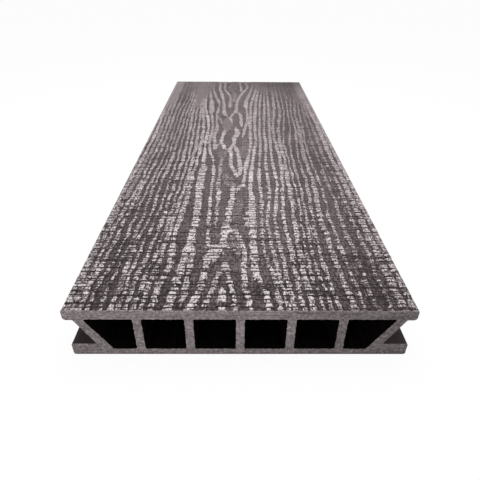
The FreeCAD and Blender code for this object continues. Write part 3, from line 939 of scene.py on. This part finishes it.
def embossed_face():
    """Dark pressed ground, and raised flecks of grain that brushing has worn to a light pinkish grey."""
    material, nodes = new_finish("embossed_face")
    across = nodes.along("X")
    along = nodes.along("Y")
    cut = nodes.attribute("saw_cut")
    press = nodes.attribute("grain_press")

    # Fine marks, sharper near the front end
    fibre = nodes.mottle((1150, 330, 1150), detail=3.0, roughness=0.65)
    grit = nodes.mottle((1700, 1200, 1700), detail=2.0, roughness=0.6)
    cloud = nodes.mottle((110, 60, 110), detail=2.0)
    scratch = nodes.mottle((45, 640, 45), detail=1.0)
    nick = nodes.mottle((420, 950, 420), detail=1.0)
    speck = nodes.mottle((1250, 850, 1250), detail=1.0)
    streak = nodes.mottle((2000, 500, 2000), detail=1.0)
    near = 1 - nodes.rise(along, *SHARP_MARKS) * 0.6
    rough = (fibre * 2.4 + grit * 2.0) * (0.5 + near * 0.5)
    scratched = nodes.rise(scratch + rough * 0.02, *SCRATCHES) * (0.3 + near * 0.7)
    nicked = nodes.rise(nick, *NICKS) * near

    # Worn flecks: inside a fleck's rough edge, but not where a saw cut, a scratch or a nick goes through it
    sawn_through = nodes.rise(cut + rough * 0.25, *SAWN_THROUGH)
    inside = nodes.attribute("fleck_edge") + rough * 0.8 - 0.1
    edge = inside * (1 + near * 1.9) + near * (0.3 + across * 1.2)
    worn = nodes.rise(edge, *WORN_EDGE) * (1 - sawn_through) * (1 - scratched * 0.8) * (1 - nicked * 0.7)
    grain = fibre * 1.6 + grit * 1.2 + (speck * 2.0 + streak * 3.2) * near
    # Flecks are painted a little darker along the front edge, as painted shade
    front_edge_shade = 0.9 + nodes.rise(along, *FRONT_EDGE) * 0.1
    light = worn * nodes.attribute("fleck_tone") * (1.08 + grain) * front_edge_shade

    # Ground: paler away from the front end and along the middle, as painted light; darker far away, in a cut
    # and beside a fleck, as painted shade
    middle = 1 - nodes.rise_outwards(across, *PALER_MIDDLE_ACROSS)
    paler = nodes.rise(along, *PALER_GROUND) * (0.052 + across * 0.25)
    paler += nodes.rise(along, *PALER_MIDDLE_ALONG) * middle * 0.07
    paler += near * nodes.rise(across, *PALER_RIGHT) * 0.025 - nodes.rise(along, *DARKER_GROUND) * 0.025
    speckled = speck * (0.1 + near * 0.3) + streak * near * 0.4
    uneven = cloud * 0.15 - scratched * 0.06 + rough * 0.28 + speckled
    # Painted shade in the saw cuts and at the foot of each fleck
    shade_beside_fleck = nodes.rise(edge, *SHADE_BESIDE_FLECK) * near
    ground = GROUND_SHADE + paler + uneven - cut * 0.3 - shade_beside_fleck * 0.06
    figured = ground * (1 - worn) + light

    # Plain surface where the press fades, and the shade of the far end
    lip = nodes.rise_outwards(across, *LIP_BAND)
    beside_lip = nodes.rise_outwards(across, *SIDE_BAND) * (1 - lip)
    plain = PLAIN_SHADE - across * 0.35 * (1 - lip) + cloud * 0.25 + lip * 0.16 - beside_lip * 0.06
    end_shade = 1 - nodes.rise(along, *FAR_END) * (0.2 + across * 6) * (1 - lip * 0.3)
    shade = (figured * press + (1 - press) * plain) * end_shade

    nodes.surface(
        Base_Color=nodes.colours(shade, FACE_COLOURS), Roughness=0.65,
        Normal=nodes.bump(grit * 0.5 + fibre * 0.5, FACE_BUMP), Specular_IOR_Level=0.1,
        Sheen_Weight=0.18, Sheen_Roughness=0.45, Sheen_Tint=FACE_SHEEN,
    )
    return material


def sawn_end():
    """The cut through the composite: mid grey, mottled with wood fibres, with faint streaks across. Its top
    edge carries a painted highlight, the top plate is smeared, its foot a painted contact shadow, and both
    sides, the right one most, are painted darker as painted shade."""
    material, nodes = new_finish("sawn_end")
    across = nodes.along("X")
    height = nodes.along("Z")
    mottle = nodes.mottle((700, 700, 750), detail=4.0, roughness=0.7)
    grit = nodes.mottle((1900, 1900, 1900), detail=2.0, roughness=0.7)
    streak = nodes.mottle((90, 90, 800), detail=2.0, roughness=0.6, distortion=0.4)
    smear = nodes.mottle((30, 30, 620), detail=2.0, roughness=0.6, distortion=0.3)
    cloud = nodes.mottle((26, 26, 60), detail=1.0)
    # Painted highlight along the top edge, and painted contact shadow along the foot
    highlight_top_rim = nodes.rise(height + mottle * 0.0014, *HIGHLIGHT_TOP_RIM)
    contact_shadow_foot = 1 - nodes.rise(height, *CONTACT_SHADOW_FOOT)
    smeared = nodes.rise(smear, *SMEARS) * nodes.rise(height, *SMEARED_TOP) * (1 - highlight_top_rim)
    texture = mottle * 1.8 + grit * 1.5 + streak * 0.6 + cloud * 0.4
    edges = highlight_top_rim * 0.35 - contact_shadow_foot * 0.55 - smeared * 0.3
    # Both sides are painted darker, the right one most, as painted shade
    sides = nodes.rise(across, *SAWN_LEFT) * 0.07 - nodes.rise(across, *SAWN_RIGHT) * 0.24
    shade = SAWN_SHADE + texture + edges + sides
    nodes.surface(
        Base_Color=nodes.colours(shade, SAWN_COLOURS), Roughness=0.75,
        Normal=nodes.bump(mottle * 0.6 + grit * 0.4, SAWN_BUMP), Specular_IOR_Level=0.25,
    )
    return material


def extruded_skin():
    """The smooth dark skin that the die leaves on the grooves, wings and underside, with fine lines along."""
    material, nodes = new_finish("extruded_skin")
    line = nodes.mottle((900, 9, 900), detail=3.0, roughness=0.6)
    cloud = nodes.mottle((70, 30, 70), detail=3.0)
    grit = nodes.mottle((1500, 900, 1500), detail=2.0)
    paler = nodes.rise(nodes.along("X"), *SKIN_RIGHT) * 0.2
    shade = SKIN_SHADE + line * 0.8 + cloud * 0.5 + grit * 0.3 + paler
    nodes.surface(
        Base_Color=nodes.colours(shade, SKIN_COLOURS), Roughness=0.55, Normal=nodes.bump(line, SKIN_BUMP),
        Specular_IOR_Level=0.12,
    )
    return material


def chamber_shade():
    """The inside of the chambers, painted almost black as painted shade, with faint lines along it."""
    material, nodes = new_finish("chamber_shade")
    line = nodes.noise((700, 8, 700), detail=2.0)
    nodes.surface(Base_Color=nodes.colours(line, CHAMBER_SHADE_COLOURS), Roughness=0.9, Specular_IOR_Level=0.0)
    return material


# Studio

def seen_as_background(nodes):
    """1 for a ray that shows the background: from the camera, off a gloss or through glass."""
    kinds = ("Is Camera Ray", "Is Glossy Ray", "Is Transmission Ray")
    camera, gloss, glass = (nodes.node("ShaderNodeLightPath", output=kind) for kind in kinds)
    return nodes.rise(camera + gloss + glass, 0.0, 1.0)


def studio_floor():
    """A pale floor that shows white, with a share of its own shading left for the board's shadow."""
    material, nodes = new_finish("studio_floor")
    paint = nodes.node("ShaderNodeBsdfDiffuse", None, {"Color": FLOOR_WHITE})
    white = nodes.node("ShaderNodeEmission", None, {"Color": WHITE, "Strength": 1.0})
    share = seen_as_background(nodes) * BACKGROUND_SHARE
    mixed = nodes.node("ShaderNodeMixShader", None, {0: share, 1: paint, 2: white})
    nodes.node("ShaderNodeOutputMaterial", None, {"Surface": mixed})
    half = FLOOR_SIZE / 2
    corners = [(-half, -half), (half, -half), (half, half), (-half, half)]
    mesh = bpy.data.meshes.new("studio_floor")
    mesh.from_pydata([(x, y, -FLOOR_DROP) for x, y in corners], [], [(0, 1, 2, 3)])
    mesh.materials.append(material)
    floor = bpy.data.objects.new("studio_floor", mesh)
    bpy.context.scene.collection.objects.link(floor)


def studio_sky():
    """Even light from all round, which shows as white behind the board."""
    world = bpy.data.worlds.new("studio_sky")
    bpy.context.scene.world = world
    nodes = Nodes(world)
    level = SKY_LEVEL + seen_as_background(nodes) * (1 - SKY_LEVEL)
    sky = nodes.node("ShaderNodeBackground", None, {"Color": WHITE, "Strength": level})
    nodes.node("ShaderNodeOutputWorld", None, {"Surface": sky})


def soft_lamp(name, place, aim, size, power):
    """A square lamp that points at a spot of the board."""
    lamp = bpy.data.lights.new(name, "AREA")
    lamp.size = size
    lamp.energy = power
    holder = bpy.data.objects.new(name, lamp)
    holder.location = place
    holder.rotation_euler = (Vector(aim) - Vector(place)).to_track_quat("-Z", "Y").to_euler()
    bpy.context.scene.collection.objects.link(holder)


def picture_camera():
    """The camera at the place and angle that the picture was taken from."""
    camera = bpy.data.cameras.new("picture_camera")
    camera.lens = CAMERA_LENS
    camera.sensor_width = SENSOR_WIDTH
    camera.clip_start = CLIP_START
    holder = bpy.data.objects.new("picture_camera", camera)
    turn = Matrix.Rotation(math.radians(-CAMERA_YAW), 4, "Z")
    tilt = Matrix.Rotation(math.radians(90 - CAMERA_PITCH), 4, "X")
    roll = Matrix.Rotation(math.radians(CAMERA_ROLL), 4, "Z")
    holder.matrix_world = Matrix.Translation(CAMERA_PLACE) @ turn @ tilt @ roll
    bpy.context.scene.collection.objects.link(holder)
    bpy.context.scene.camera = holder


# Build

def make_board():
    """The board with its finishes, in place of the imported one."""
    mesh = board_mesh()
    for finish in (embossed_face, extruded_skin, sawn_end, chamber_shade):
        mesh.materials.append(finish())
    board = bpy.data.objects.new("embossed_board", mesh)
    bpy.context.scene.collection.objects.link(board)
    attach(board, "root")
    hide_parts(NODE)


make_board()
studio_floor()
studio_sky()
soft_lamp("top_lamp", **TOP_LAMP)
soft_lamp("front_lamp", **FRONT_LAMP)
picture_camera()
bpy.context.scene.view_settings.view_transform = "Standard"
